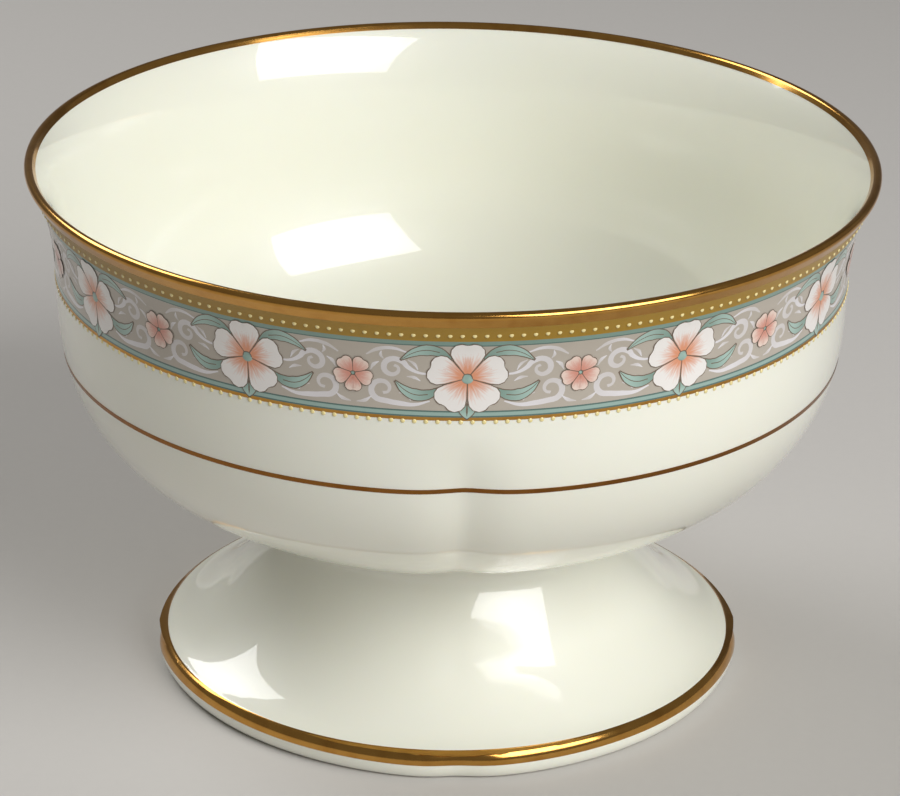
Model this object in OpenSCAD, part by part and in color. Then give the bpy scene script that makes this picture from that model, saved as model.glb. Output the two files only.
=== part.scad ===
// Footed porcelain bowl: a jiggered bowl luted to a cast pedestal with slip, glazed and fired
// together, then banded with a printed frieze and lined with gold.
// Millimetres, +Z up, origin on the table under the middle of the standing ring.
// The lip is round. Four soft creases, a quarter turn apart, start below the frieze.

/* [Bowl] */
// Outer diameter of the lip
rim_d = 152; // [146:0.5:164]
// Height of the lip's crest above the table
rim_z = 97.5; // [92:0.5:110]
// Outer diameter of the wall where it stands most upright
belly_d = 142.1; // [136:0.1:145]
// How far below the lip's crest that most upright place lies
belly_drop = 25.2; // [22:0.1:30]
// Slope of the wall just under the lip, from the horizontal
lip_angle = 56; // [48:1:70]
// Thickness of the lip, which is rounded over
lip_t = 1.6; // [1.2:0.1:2.4]
// Thickness of the wall at its most upright place
wall_t = 2.3; // [1.8:0.1:3.2]
// Thickness of the bowl's floor where the wall meets the pedestal
floor_t = 4; // [3.4:0.1:6]
// How much lower the middle of the floor lies than that
floor_dish = 0.9; // [0.4:0.1:1.5]

/* [Creases] */
// Depth of each crease in the bowl
bowl_crease_depth = 1.55; // [0.4:0.05:1.6]
// Half width of a crease in the bowl, in degrees round the axis
bowl_crease_deg = 4.5; // [4:0.5:10]
// How far below the lip's crest the creases begin to show
crease_top_drop = 22.5; // [21.5:0.5:27.5]
// How far below the lip's crest the creases reach their full depth
crease_full_drop = 35.5; // [31.5:0.5:41.5]
// Depth of each crease in the foot's edge
foot_crease_depth = 1.05; // [0.4:0.05:1.5]
// Half width of a crease in the foot's edge, in degrees round the axis
foot_crease_deg = 5; // [4:0.5:10]
// How far the foot swells outward beside its creases
foot_swell = 1.2; // [0:0.1:2]

/* [Pedestal] */
// Diameter of the foot at its widest, without the swell
foot_d = 106.4; // [100:0.2:116]
// Height of that widest place
foot_edge_z = 3; // [2:0.1:4]
// Outer diameter of the flat ring that stands on the table
contact_d = 102.6; // [96:0.2:105]
// Width of the flat standing ring
contact_w = 3; // [2:0.1:4.5]
// Diameter at which the foot's rounded edge meets the flare
flare_d = 103.4; // [98:0.2:106]
// Height at which the foot's rounded edge meets the flare
flare_z = 5.5; // [4:0.1:7]
// How steeply the flare begins there, in degrees
flare_slope = 14; // [0:1:25]
// Outer diameter of the neck
neck_d = 62; // [54:0.5:66]
// Height of the neck
neck_z = 28; // [24:0.5:30]
// Wall of the pedestal at the neck
foot_wall_t = 3; // [2.2:0.1:4]
// Diameter of the flat seat under the bowl
seat_d = 75; // [68:0.5:80]
// Height of the flat seat under the bowl
seat_z = 34.3; // [32:0.1:38]
// Thickness of the slip that joins the pedestal to the seat
slip_t = 0.6; // [0.4:0.1:1]
// How far the wiped slip stays inside the edge of the seat
slip_inset = 0.5; // [0.3:0.1:1]

/* [Gilding and print] */
// Thickness of the gilding
gild_t = 0.15; // [0.1:0.01:0.3]
// Thickness of the printed transfer
print_t = 0.12; // [0.08:0.01:0.3]
// How far the gilding comes down the outside of the lip
rim_gild_drop = 2.75; // [2:0.05:4]
// Height of the ochre band that carries the beads
bead_band_h = 3; // [2:0.1:4]
// Height of the teal line over the frieze
upper_line_h = 1; // [0.5:0.1:1.5]
// Height of the frieze's ground
frieze_h = 12.2; // [9:0.1:13]
// Height of the teal line under the frieze
lower_line_h = 1.2; // [0.5:0.1:1.4]
// Height of the gold line under that
lower_gold_h = 0.6; // [0.3:0.1:0.8]
// How far below the lip's crest the middle of the waist line lies
waist_drop = 34.3; // [31.5:0.1:39.5]
// Height of the waist line
waist_h = 0.85; // [0.5:0.05:1.2]

/* [Hidden] */

// Facets round the lobed forms, a multiple of the four creases
facets = 144;
$fn = facets;
creases = 4;
quarter = 360 / creases;
overrun = 1;
// The lobed wall starts this far inside the round wall above it, and reaches this far up into it
lap_inset = 0.02;
lap_h = 1;

// How many straight steps stand for each curve
lip_steps = 3;
band_steps = 2;
frieze_steps = 4;
lobed_steps = 5;
under_steps = 9;
inner_steps = 12;
floor_steps = 8;
edge_steps = 3;
flare_steps = 10;
spread_steps = 4;
hollow_steps = 14;

belly_z = rim_z - belly_drop;
crease_top_z = rim_z - crease_top_drop;
crease_full_z = rim_z - crease_full_drop;
waist_z = rim_z - waist_drop;
rim_r = rim_d / 2;
belly_r = belly_d / 2;
seat_r = seat_d / 2;
foot_r = foot_d / 2;
contact_r = contact_d / 2;
flare_r = flare_d / 2;
neck_r = neck_d / 2;

// Pulls on the curves, as shares of the height or run that each curve covers
lip_pull_share = 0.3;
rise_pull_share = 0.44;
drop_pull_share = 0.69;
seat_pull_share = 0.43;
seat_slope = 12;
floor_pull_share = 0.1;
floor_run_share = 0.6;
edge_pull_share = 0.55;
flare_pull_share = 0.3;
neck_pull_share = 0.24;
top_pull_share = 0.6;
hollow_pull_share = 0.5;
// Share of the curve over the foot's edge that is gilded
foot_gild_share = 0.75;
// Share of the underside's run over which the bowl's creases fade out
crease_fade_share = 0.25;
// How late on the flare the foot's creases and swell grow: 1 is evenly, and more is nearer the edge
foot_growth = 1.5;
// How square the bottom of a crease is: 2 is a bell curve, and less is sharper
crease_power = 1.6;

// A cubic curve through four points, and its direction
function bezier(p, t) =
    pow(1 - t, 3) * p[0] + 3 * pow(1 - t, 2) * t * p[1] + 3 * (1 - t) * t * t * p[2] + pow(t, 3) * p[3];
function heading(p, t) =
    pow(1 - t, 2) * (p[1] - p[0]) + 2 * (1 - t) * t * (p[2] - p[1]) + t * t * (p[3] - p[2]);
function unit(v) = v / norm(v);
// Values from a to b in n steps, without b itself
function steps(a, b, n) = [for (i = [0 : n - 1]) a + (b - a) * i / n];
function reversed(list) = [for (i = [len(list) - 1 : -1 : 0]) list[i]];
function ease(x) = x <= 0 ? 0 : x >= 1 ? 1 : x * x * (3 - 2 * x);

// The lip is half a circle at the end of the wall
lip_r = lip_t / 2;
lip_lean = 90 - lip_angle;
lip_c = [rim_r - lip_r, rim_z - lip_r];
crest_deg = 75;
function lip_at(a, out) = lip_c + (lip_r + out) * [cos(a), sin(a)];
lip_outside_degs = concat(steps(crest_deg, 0, lip_steps), [0]);
lip_inside_degs = concat(steps(90 + lip_angle, 180 - crest_deg, lip_steps), [180 - crest_deg]);

// The outer wall, from the lip to the most upright place and from there to the seat.
// One number u runs down it: 0 at the lip, 1 at the most upright place, 2 at the seat.
down_in = [-cos(lip_angle), -sin(lip_angle)];
wall_start = lip_at(-lip_lean, 0);
rise = rim_z - belly_z;
drop = belly_z - seat_z;
upper_wall = [wall_start,
              wall_start + lip_pull_share * rise * down_in,
              [belly_r, belly_z + rise_pull_share * rise],
              [belly_r, belly_z]];
lower_wall = [[belly_r, belly_z],
              [belly_r, belly_z - drop_pull_share * drop],
              [seat_r, seat_z] + seat_pull_share * (belly_r - seat_r) * [cos(seat_slope), sin(seat_slope)],
              [seat_r, seat_z]];
function wall_at(u) = u < 1 ? bezier(upper_wall, u) : bezier(lower_wall, u - 1);
function wall_heading(u) = unit(u < 1 ? heading(upper_wall, u) : heading(lower_wall, u - 1));
function wall_out(u, out) = wall_at(u) + out * [-wall_heading(u)[1], wall_heading(u)[0]];
// The place on the wall that has height z, found by halving
function u_of(z, low = 0, high = 2, n = 30) =
    n == 0 ? (low + high) / 2
           : wall_at((low + high) / 2)[1] > z ? u_of(z, (low + high) / 2, high, n - 1)
                                              : u_of(z, low, (low + high) / 2, n - 1);

// The inner wall runs alongside, ever thicker, and rounds over to the middle of the floor
function wall_thick(u) = u < 1 ? lip_t + (wall_t - lip_t) * u : wall_t + (floor_t - wall_t) * (u - 1);
function inner_at(u) = wall_out(u, -wall_thick(u));
floor_edge = inner_at(2);
floor_z = seat_z + floor_t - floor_dish;
floor_curve = [floor_edge,
               floor_edge + floor_pull_share * floor_edge[0] * wall_heading(2),
               [floor_run_share * floor_edge[0], floor_z],
               [0, floor_z]];

// Where each band of the decoration begins and ends
z_gild = rim_z - rim_gild_drop;
z_bead = z_gild - bead_band_h;
z_upper = z_bead - upper_line_h;
z_frieze = z_upper - frieze_h;
z_lower = z_frieze - lower_line_h;
z_gold = z_lower - lower_gold_h;
u_gild = u_of(z_gild);
u_bead = u_of(z_bead);
u_upper = u_of(z_upper);
u_frieze = u_of(z_frieze);
u_lower = u_of(z_lower);
u_gold = u_of(z_gold);
u_waist_top = u_of(waist_z + waist_h / 2);
u_waist_low = u_of(waist_z - waist_h / 2);

// The wall is round down to where the creases start, with a step at each edge of a band
u_round = u_of(min(crease_top_z, z_gold));
round_us = concat(steps(0, u_gild, 1), steps(u_gild, u_bead, band_steps), steps(u_bead, u_upper, 1),
                  steps(u_upper, u_frieze, frieze_steps), steps(u_frieze, u_lower, 1),
                  steps(u_lower, u_gold, 1), steps(u_gold, u_round, 1), [u_round]);
lobed_us = concat(steps(u_round, u_waist_top, lobed_steps), steps(u_waist_top, u_waist_low, 1),
                  steps(u_waist_low, 2, under_steps), [2]);

// How deep a crease is at a height, and how the plan dips and swells at an angle from it
function from_crease(a) = abs(a - quarter * round(a / quarter));
function dip(a, width) = exp(-pow(from_crease(a) / width, crease_power));
function swell(a) = (1 - cos(quarter / 2 - from_crease(a))) / (1 - cos(quarter / 2));
function bowl_depth(p) =
    bowl_crease_depth * ease((crease_top_z - p[1]) / (crease_top_z - crease_full_z))
    * ease((p[0] - seat_r) / (crease_fade_share * (belly_r - seat_r)));
function foot_share(p) =
    p[1] < neck_z ? pow(min(max((p[0] - neck_r) / (flare_r - neck_r), 0), 1), foot_growth) : 0;
function bowl_r(p, a) = p[0] - bowl_depth(p) * dip(a, bowl_crease_deg);
function foot_plan_r(p, a) =
    p[0] + foot_share(p) * (foot_swell * swell(a) - foot_crease_depth * dip(a, foot_crease_deg));

// The pedestal's outside, from the table up: rounded edge, flare, neck and the spread under the seat
top_z = seat_z - slip_t;
top_r = seat_r - slip_inset;
edge_low = [[contact_r, 0],
            [contact_r + edge_pull_share * (foot_r - contact_r), 0],
            [foot_r, (1 - edge_pull_share) * foot_edge_z],
            [foot_r, foot_edge_z]];
edge_high = [[foot_r, foot_edge_z],
             [foot_r, foot_edge_z + edge_pull_share * (flare_z - foot_edge_z)],
             [flare_r, flare_z] + edge_pull_share * (foot_r - flare_r) * [1, -tan(flare_slope)],
             [flare_r, flare_z]];
flare = [[flare_r, flare_z],
         [flare_r, flare_z] - flare_pull_share * (flare_r - neck_r) * [1, -tan(flare_slope)],
         [neck_r, neck_z - neck_pull_share * (neck_z - flare_z)],
         [neck_r, neck_z]];
spread = [[neck_r, neck_z],
          [neck_r, neck_z + top_pull_share * (top_z - neck_z)],
          [top_r - top_pull_share * (top_r - neck_r), top_z],
          [top_r, top_z]];
foot_profile = concat([for (t = steps(0, 1, edge_steps)) bezier(edge_low, t)],
                      [for (t = steps(0, foot_gild_share, edge_steps)) bezier(edge_high, t)],
                      [bezier(edge_high, foot_gild_share)],
                      [for (t = steps(0, 1, flare_steps)) bezier(flare, t)],
                      [for (t = steps(0, 1, spread_steps)) bezier(spread, t)],
                      [[top_r, top_z]]);

// The hollow under the foot keeps the wall even
hollow_r = neck_r - foot_wall_t;
hollow = [[contact_r - contact_w, 0],
          [contact_r - contact_w, foot_edge_z],
          [hollow_r, neck_z - hollow_pull_share * neck_z],
          [hollow_r, neck_z]];

// Rings of points in the bowl's plan or the pedestal's
function ring_r(p, a, on_bowl) = on_bowl ? bowl_r(p, a) : foot_plan_r(p, a);
function ring_points(profile, on_bowl) =
    [for (p = profile) for (i = [0 : facets - 1])
        let (a = 360 * i / facets, r = ring_r(p, a, on_bowl)) [r * cos(a), r * sin(a), p[1]]];
// Two triangles for each patch between ring j and ring k
function patch_faces(j, k) =
    [for (i = [0 : facets - 1]) let (n = (i + 1) % facets)
        each [[j * facets + i, j * facets + n, k * facets + n],
              [j * facets + i, k * facets + n, k * facets + i]]];

// A solid of stacked rings that run downward, closed by a flat face at each end
module stacked(profile, on_bowl) {
    last = len(profile) - 1;
    polyhedron(points = ring_points(profile, on_bowl),
               faces = concat([[for (i = [facets - 1 : -1 : 0]) i]],
                              [for (j = [0 : last - 1]) each patch_faces(j, j + 1)],
                              [[for (i = [0 : facets - 1]) last * facets + i]]));
}

// A closed band of rings: the outer face down, the inner face up
module band(profile, on_bowl) {
    n = len(profile);
    polyhedron(points = ring_points(profile, on_bowl),
               faces = [for (j = [0 : n - 1]) each patch_faces(j, (j + 1) % n)]);
}

// A thin skin on the round part of the wall, between two places on it
module wall_skin(u_from, u_to, n) {
    us = concat(steps(u_from, u_to, n), [u_to]);
    rotate_extrude()
        polygon(concat([for (u = us) wall_out(u, print_t)], [for (u = reversed(us)) wall_at(u)]));
}

// The lobed lower wall, whose first ring is tucked up inside the round wall
module lobed_wall() {
    tuck = wall_at(u_round) - [lap_inset, 0];
    stacked(concat([tuck + [-lap_h, lap_h], tuck], [for (i = [1 : len(lobed_us) - 1]) wall_at(lobed_us[i])]),
            true);
}

module bowl() {
    crest_out = lip_at(crest_deg, 0);
    crest_in = lip_at(180 - crest_deg, 0);
    color("ivory")
    difference() {
        union() {
            rotate_extrude()
                polygon(concat([[0, crest_out[1]]],
                               [for (a = lip_outside_degs) lip_at(a, 0)],
                               [for (u = round_us) wall_at(u)],
                               [[0, wall_at(u_round)[1]]]));
            lobed_wall();
        }
        rotate_extrude()
            polygon(concat([[0, rim_z + overrun], [crest_in[0], rim_z + overrun]],
                           [for (a = reversed(lip_inside_degs)) lip_at(a, 0)],
                           [for (u = steps(0, 1, inner_steps)) inner_at(u)],
                           [for (u = steps(1, 2, inner_steps)) inner_at(u)],
                           [for (t = steps(0, 1, floor_steps)) bezier(floor_curve, t)],
                           [[0, floor_z]]));
    }
}

module pedestal() {
    color("floralwhite")
    difference() {
        stacked(reversed(foot_profile), false);
        rotate_extrude()
            polygon(concat([[0, -overrun], [hollow[0][0], -overrun]],
                           [for (t = steps(0, 1, hollow_steps)) bezier(hollow, t)],
                           [[hollow_r, top_z + overrun], [0, top_z + overrun]]));
    }
}

// The wiped ring of slip between the pedestal's top and the seat
module slip_joint() {
    color("linen")
    rotate_extrude()
        polygon([[hollow_r, top_z], [top_r, top_z], [top_r, seat_z], [hollow_r, seat_z]]);
}

// The gilding wraps over the lip and down the outside
module rim_gilding() {
    degs = concat(lip_inside_degs, lip_outside_degs);
    us = [0, u_gild];
    color("darkgoldenrod")
    rotate_extrude()
        polygon(concat([for (a = degs) lip_at(a, gild_t)],
                       [for (u = us) wall_out(u, gild_t)],
                       [for (u = reversed(us)) wall_at(u)],
                       [for (a = reversed(degs)) lip_at(a, 0)]));
}

module bead_band() {
    color("goldenrod")
    wall_skin(u_gild, u_bead, band_steps);
}

module upper_line() {
    color("cadetblue")
    wall_skin(u_bead, u_upper, 1);
}

module frieze_ground() {
    color("darkgray")
    wall_skin(u_upper, u_frieze, frieze_steps);
}

module lower_line() {
    color("cadetblue")
    wall_skin(u_frieze, u_lower, 1);
}

module lower_gold_line() {
    color("goldenrod")
    wall_skin(u_lower, u_gold, 1);
}

// The thin gold line that dips into every crease
module waist_line() {
    us = [u_waist_top, u_waist_low];
    color("saddlebrown")
    band(concat([for (u = us) wall_out(u, gild_t)], [for (u = reversed(us)) wall_at(u)]), true);
}

// The gilding over the foot's edge
module foot_gilding() {
    ts = concat(steps(0, foot_gild_share, edge_steps), [foot_gild_share]);
    skin = [for (t = ts)
        let (d = unit(heading(edge_high, t))) bezier(edge_high, t) + gild_t * [d[1], -d[0]]];
    color("darkgoldenrod")
    band(concat(reversed(skin), [for (t = ts) bezier(edge_high, t)]), false);
}

bowl();
pedestal();
slip_joint();
rim_gilding();
bead_band();
upper_line();
frieze_ground();
lower_line();
lower_gold_line();
waist_line();
foot_gilding();
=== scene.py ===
"""Footed porcelain bowl: ivory glazed porcelain on a trumpet foot, gilded and banded with a fired print.

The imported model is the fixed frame. Lengths are metres, +Z is up, and the creases lie on the X and Y axes.
"""
import math

import bpy
from bpy.props import FloatProperty, FloatVectorProperty, IntProperty, PointerProperty
from mathutils import Matrix, Vector


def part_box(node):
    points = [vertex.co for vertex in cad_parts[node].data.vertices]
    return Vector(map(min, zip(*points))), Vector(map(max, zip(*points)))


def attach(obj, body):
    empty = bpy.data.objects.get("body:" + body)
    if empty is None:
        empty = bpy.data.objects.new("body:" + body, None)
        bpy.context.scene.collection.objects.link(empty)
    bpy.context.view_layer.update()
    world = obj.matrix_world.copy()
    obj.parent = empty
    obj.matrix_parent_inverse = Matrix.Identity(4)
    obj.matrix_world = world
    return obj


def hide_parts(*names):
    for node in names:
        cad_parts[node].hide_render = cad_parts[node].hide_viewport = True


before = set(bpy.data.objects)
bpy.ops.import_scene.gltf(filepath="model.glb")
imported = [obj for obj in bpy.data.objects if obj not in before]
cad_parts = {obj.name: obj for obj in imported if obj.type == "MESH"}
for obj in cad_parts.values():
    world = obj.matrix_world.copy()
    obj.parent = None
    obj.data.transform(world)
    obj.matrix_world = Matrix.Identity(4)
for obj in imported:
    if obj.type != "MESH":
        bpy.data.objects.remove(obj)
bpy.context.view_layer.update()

bl_info = {
    "name": "Footed porcelain bowl",
    "version": (1, 0, 0),
    "blender": (4, 5, 0),
    "location": "3D View > Sidebar > Bowl",
    "description": "Makes a gilded and printed porcelain bowl on a pedestal foot",
    "category": "Add Mesh",
}

MM = 0.001
TURN = 2 * math.pi
CREASES = 4
SPIN_STEPS = 360
# Points of a turned profile nearer than this become one
WELD = 0.002 * MM

# Slope of the bowl's underside at the seat, from the horizontal
SEAT_SLOPE = math.radians(12)
# Reach of the handles of a profile's curves, as shares of the height or width that each curve covers. A wall has
# four: under the lip, over the belly, under the belly and at the seat.
OUTER_REACH = (0.3, 0.44, 0.69, 0.43)
INNER_REACH = (0.1, 0.705, 0.86, 0.1)
# The floor inside, at its edge and at its middle
FLOOR_REACH = (0.1, 0.6)
# The foot's rounded edge
EDGE_REACH = 0.55
# The flare, at the edge and at the neck
FLARE_REACH = (0.3, 0.24)
# The spread from the neck to the top, and the hollow under it
SPREAD_REACH = 0.6
HOLLOW_REACH = 0.5
# The bowl's underside closes in steps to these shares of its width, the first small, to keep its edge crisp
UNDERSIDE_STEPS = (0.97, 0.1)
SLIP_CURVE_POINTS = 4
# Halvings that find a place on a curve
HALVINGS = 40

# The skin counts as outer where its normal leans outward or down by more than this
OUTER_LEAN = 0.05
# A vertex with less weight than this stays where it is
LEAST_WEIGHT = 0.001
# Section of a crease: 2 would be a bell, and less is sharper
CREASE_SHARPNESS = 1.6
# Share of the underside's width over which the bowl's creases die away at the seat
CREASE_FADE = 0.25

# Faces of a thin layer that meet at more than this are shaded with a crisp edge
EDGE_ANGLE = math.radians(35)
BEAD_SIDES = 8
HEART_SIDES = 20
# The upper beads stand this share of their band's height above its lower edge
UPPER_BEADS_SHARE = 0.42
# The lower beads stand this share of a bead under the gold line
LOWER_BEADS_SHARE = 0.3

# Points from one knot of a stroke to the next
STROKE_POINTS = 4
# A stroke is cut lengthwise once for each of these in its half width, in half heights of the frieze
ACROSS_STEP = 0.15
# Strokes are drawn this many lip radii in front of the axis
DRAWING_DISTANCE = 1.5

# Roughness of the body under its glaze, and of bare clay
BODY_ROUGHNESS = 0.35
BARE_ROUGHNESS = 0.85
# Up to the first height the foot's ring is bare, and from the second on it is glazed
WIPED_HEIGHTS = (0.15 * MM, 0.35 * MM)
BURNISHED_ROUGHNESS = 0.14
DRAWN_ROUGHNESS = 0.22
PRINTED_ROUGHNESS = 0.3
# Share of the glaze's gloss that an enamel has
ENAMEL_GLOSS = 0.8
OCHRE_GLOSS = 0.15
# Between its brush lines gold has these shares of its roughness
BRUSHED_SHARES = (0.8, 1.25)
# Shares of red, green and blue that stay where the body looks warmer, and where gold is thin
WARM_TINT = (1.0, 0.985, 0.95)
BROWN_TINT = (0.84, 0.77, 0.68)

# The sweep lies this far under the foot, so that the two never share a plane
SWEEP_DROP = 0.02 * MM
# Radius of the sweep's bend as a share of its width, and the faces along the bend
SWEEP_BEND = 0.2
SWEEP_BEND_CUTS = 24


def linear(hex_colour):
    """A colour written as #RRGGBB, turned from sRGB to linear."""
    shares = [int(hex_colour[i:i + 2], 16) / 255 for i in (1, 3, 5)]
    return tuple(c / 12.92 if c <= 0.04045 else ((c + 0.055) / 1.055) ** 2.4 for c in shares)


def length(name, description, default):
    return FloatProperty(name=name, description=description, default=default, unit="LENGTH", precision=5)


def angle_of(name, description, degrees):
    return FloatProperty(name=name, description=description, subtype="ANGLE", default=math.radians(degrees))


def number(name, description, default):
    return FloatProperty(name=name, description=description, default=default)


def count(name, description, default, least=1):
    return IntProperty(name=name, description=description, default=default, min=least)


def colour(name, description, hex_colour):
    return FloatVectorProperty(name=name, description=description, subtype="COLOR", size=3, min=0, max=1,
                               default=linear(hex_colour))


class BowlSizes(bpy.types.PropertyGroup):
    """Sizes of the bowl itself."""
    lip_radius: length("Lip radius", "Outer radius of the lip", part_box("bowl")[1].x)
    lip_height: length("Lip height", "Height of the lip's crest above the table", 97.5 * MM)
    lip_thickness: length("Lip thickness", "Thickness of the rounded lip", 1.6 * MM)
    lip_slope: angle_of("Lip slope", "Slope of the wall under the lip, from the horizontal", 56)
    belly_radius: length("Belly radius", "Outer radius where the wall is most upright", 71.05 * MM)
    belly_drop: length("Belly drop", "How far that place lies below the lip", 25.2 * MM)
    wall: length("Wall", "Thickness of the wall at the belly", 2.3 * MM)
    seat_radius: length("Seat radius", "Radius of the flat seat under the bowl", 37.5 * MM)
    seat_height: length("Seat height", "Height of the flat seat under the bowl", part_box("bowl")[0].z)
    floor: length("Floor", "Thickness of the floor at its edge", 4.0 * MM)
    floor_dish: length("Floor dish", "How much lower the floor's middle lies", 0.9 * MM)
    crease_depth: length("Crease depth", "Depth of each crease in the bowl", 1.55 * MM)
    crease_width: angle_of("Crease width", "Half width of a crease, round the axis", 4.5)
    crease_top: length("Crease top", "How far below the lip the creases begin", 22.5 * MM)
    crease_full: length("Crease full", "How far below the lip the creases are at full depth", 35.5 * MM)
    curve_points: count("Curve points", "Points on each curve of the profile", 22)


class FootSizes(bpy.types.PropertyGroup):
    """Sizes of the pedestal foot."""
    top: length("Top", "Height of the pedestal's top, under the slip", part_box("pedestal")[1].z)
    top_radius: length("Top radius", "Radius of the pedestal's top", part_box("slip_joint")[1].x)
    edge_radius: length("Edge radius", "Radius of the foot at its widest", 53.2 * MM)
    edge_height: length("Edge height", "Height of that widest place", 3.0 * MM)
    contact_radius: length("Contact radius", "Outer radius of the ring that stands on the table", 51.3 * MM)
    contact_width: length("Contact width", "Width of that ring", 3.0 * MM)
    flare_radius: length("Flare radius", "Radius where the rounded edge meets the flare", 51.7 * MM)
    flare_height: length("Flare height", "Height where the rounded edge meets the flare", 5.5 * MM)
    flare_slope: angle_of("Flare slope", "How steeply the flare begins there", 14)
    gilded_height: length("Gilded height", "Height up to which the foot's edge is gilded", 5.22 * MM)
    neck_radius: length("Neck radius", "Outer radius of the neck", 31.0 * MM)
    neck_height: length("Neck height", "Height of the neck", 28.0 * MM)
    wall: length("Wall", "Thickness of the pedestal's wall at the neck", 3.0 * MM)
    crease_depth: length("Crease depth", "Depth of each crease in the foot's edge", 1.05 * MM)
    crease_width: angle_of("Crease width", "Half width of a crease, round the axis", 5)
    shape_growth: number("Shape growth", "How late on the flare the creases and the swell grow", 1.5)
    swell: length("Swell", "How far the foot swells outward beside its creases", 1.2 * MM)
    curve_points: count("Curve points", "Points on each curve of the profile", 16)


class PrintSizes(bpy.types.PropertyGroup):
    """Heights of the fired layers, from the lip down."""
    gilding: length("Gilding", "How far the gilding comes down from the lip", 2.75 * MM)
    gilding_inside: length("Gilding inside", "How far the gilding comes down inside the lip", 0.95 * MM)
    bead_band: length("Bead band", "Height of the ochre band", 3.0 * MM)
    upper_line: length("Upper line", "Height of the teal line over the frieze", 1.0 * MM)
    frieze: length("Frieze", "Height of the frieze's ground", 12.2 * MM)
    lower_line: length("Lower line", "Height of the teal line under the frieze", 1.2 * MM)
    lower_gold: length("Lower gold", "Height of the gold line under that", 0.6 * MM)
    waist_drop: length("Waist drop", "How far the waist line lies below the lip", 34.3 * MM)
    waist_line: length("Waist line", "Height of the waist line", 0.85 * MM)
    beads: count("Beads", "Beads in each row round the bowl", 234, 12)
    bead: length("Bead", "Diameter of a bead", 0.8 * MM)
    bead_rise: number("Bead rise", "Height of a bead as a share of its width", 0.35)
    fine_line: length("Fine line", "Height of the fine dark lines beside the teal ones", 0.28 * MM)
    enamel: length("Enamel", "Thickness of a fired layer of print", 0.03 * MM)
    stroke_step: length("Stroke step", "How much higher each stroke lies than the one under it", 0.0045 * MM)
    repeats: count("Repeats", "Large flowers round the bowl", 12, 3)
    heart: length("Heart", "Diameter of a large flower's heart", 2.1 * MM)
    heart_rise: number("Heart rise", "Height of a heart as a share of its width", 0.12)
    gold: length("Gold", "Thickness of the gilding", 0.06 * MM)


class BowlColours(bpy.types.PropertyGroup):
    """Colours of the clay, the gold and the enamels."""
    porcelain: colour("Porcelain", "Ivory body under clear glaze", "#F2F3E7")
    biscuit: colour("Biscuit", "Bare fired clay of the standing ring", "#E6DFD0")
    # Darker and browner than bare gold: partly the gilding's own colour, partly painted reflection of a dark room
    # mirrored in the metal
    gold: colour("Gold", "Burnished gold", "#CE9A4E")
    line_gold: colour("Line gold", "Thin drawn gold", "#96642F")
    ochre: colour("Ochre", "Ground of the bead band", "#A98320")
    bead: colour("Bead", "Cream enamel beads", "#F2E2A0")
    teal: colour("Teal", "Lines and leaves", "#7F9C90")
    teal_dark: colour("Dark teal", "Shaded side of lines and leaves", "#55736C")
    aqua: colour("Aqua", "Bright teal of the lower line", "#98B4AB")
    ground: colour("Ground", "Warm grey of the frieze", "#BAB1A4")
    scroll: colour("Scroll", "Pale scrollwork", "#E4E1E4")
    petal: colour("Petal", "White of the petals", "#F0ECE8")
    blush: colour("Blush", "Peach at the base of a petal", "#E0956F")
    outline: colour("Outline", "Fine drawn outlines", "#73604E")
    scroll_tail: colour("Scroll tail", "Scrollwork where it fades", "#D2CDCB")
    leaf_tip: colour("Leaf tip", "Lighter end of a leaf", "#A6C2B8")
    floret: colour("Small flower", "Rose at the base of a small petal", "#D58F7C")
    floret_tip: colour("Small flower tip", "Pale end of a small petal", "#EBD3C6")
    paper: colour("Paper", "The sweep under the bowl", "#C9C6C2")
    room: colour("Room", "The room's even light", "#F4F2EE")


class StageSizes(bpy.types.PropertyGroup):
    """The paper sweep and the soft boxes."""
    sweep_width: length("Sweep width", "Width of the paper sweep", 3.0)
    lamp_distance: length("Lamp distance", "Distance of each soft box from the bowl", 1.1)
    lamp_spread: angle_of("Lamp spread", "How far to the sides each soft box shines", 100)
    key_azimuth: angle_of("Key azimuth", "Direction of the main soft box", -51)
    key_elevation: angle_of("Key elevation", "Height of the main soft box", 33)
    key_width: length("Key width", "Width of the main soft box", 0.82)
    key_height: length("Key height", "Height of the main soft box", 0.68)
    key_power: number("Key power", "Power of the main soft box, in watts", 3.75)
    back_azimuth: angle_of("Back azimuth", "Direction of the soft box at the back", 138)
    back_elevation: angle_of("Back elevation", "Height of the soft box at the back", 43)
    back_width: length("Back width", "Width of the soft box at the back", 0.62)
    back_height: length("Back height", "Height of the soft box at the back", 0.5)
    back_power: number("Back power", "Power of that soft box, in watts", 1.7)
    room: number("Room", "Strength of the room's even light", 0.19)


class ViewSizes(bpy.types.PropertyGroup):
    """Where the photograph was taken from."""
    azimuth: angle_of("Azimuth", "Direction of the camera from the bowl", -92.24)
    elevation: angle_of("Elevation", "Height of the camera above the lip's middle", 19.893)
    tilt: angle_of("Tilt", "How far the camera looks below the lip's middle", 3.575)
    lean: angle_of("Lean", "How far the camera leans", 0.756)
    distance: length("Distance", "Distance of the camera from the lip's middle", 0.6949)
    target_height: length("Target height", "Height of the lip's middle", 97.2 * MM)
    lens: number("Lens", "Focal length in millimetres", 155.82)


class BowlMaker(bpy.types.PropertyGroup):
    """Everything that can be set."""
    bowl: PointerProperty(type=BowlSizes)
    foot: PointerProperty(type=FootSizes)
    bands: PointerProperty(type=PrintSizes)
    colours: PointerProperty(type=BowlColours)
    stage: PointerProperty(type=StageSizes)
    view: PointerProperty(type=ViewSizes)


def settings():
    return bpy.context.scene.bowl_maker


# Shapes shared by the pieces. A cubic is four points: an end, its handle, the other end's handle, the other end.

def flat_point(radius, height):
    return Vector((radius, height))


def out(distance):
    return Vector((distance, 0))


def up(distance):
    return Vector((0, distance))


def toward(angle):
    return Vector((math.cos(angle), math.sin(angle)))


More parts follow.
